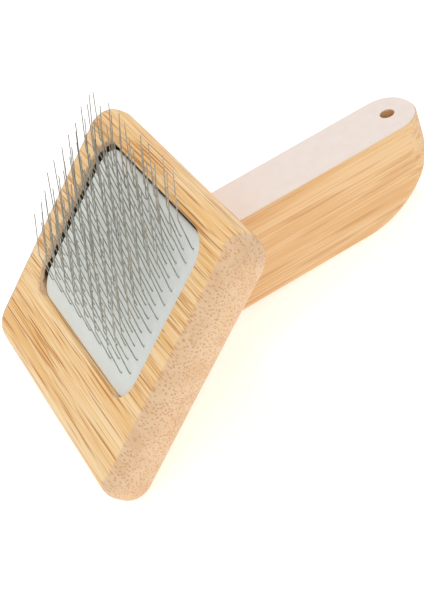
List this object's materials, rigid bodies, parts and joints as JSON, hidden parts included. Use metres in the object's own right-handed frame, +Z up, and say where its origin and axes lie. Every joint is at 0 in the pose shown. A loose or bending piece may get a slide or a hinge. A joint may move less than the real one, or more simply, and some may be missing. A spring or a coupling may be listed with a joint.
{
  "type": "slicker brush",
  "caption": "Pet grooming slicker brush: a rounded wooden head with a cushioned pad of bent wire pins, fixed at an angle to a deep flat-topped wooden handle with a hanging hole.",
  "frame": {"origin": "centre of the footprint of the whole brush as it lies on a table, pins up, at table height", "axes": "+Z up from the table; +Y from the head towards the end of the handle; +X along the long side of the head"},
  "size_m": [0.1, 0.1366, 0.0719],
  "materials": {
    "head bamboo": "satin",
    "handle bamboo": "satin",
    "wood glue": "matte",
    "screw steel": "satin",
    "adhesive": "matte",
    "foam": "matte",
    "pad cloth": "woven",
    "pad rubber": "matte",
    "pin wire": "satin"
  },
  "bodies": {
    "root": {"head_frame": "head bamboo", "head_back": "head bamboo", "frame_glue": "wood glue", "handle": "handle bamboo", "handle_glue": "wood glue", "handle_screws": "screw steel", "pocket_adhesive": "adhesive", "cushion_foam": "foam", "pad_cloth": "pad cloth", "pad_face": "pad rubber", "pin_row_01": "pin wire", "pin_row_02": "pin wire", "pin_row_03": "pin wire", "pin_row_04": "pin wire", "pin_row_05": "pin wire", "pin_row_06": "pin wire", "pin_row_07": "pin wire", "pin_row_08": "pin wire", "pin_row_09": "pin wire", "pin_row_10": "pin wire", "pin_row_11": "pin wire", "pin_row_12": "pin wire", "pin_row_13": "pin wire", "pin_row_14": "pin wire", "pin_row_15": "pin wire", "pin_row_16": "pin wire"}
  },
  "joints": []
}
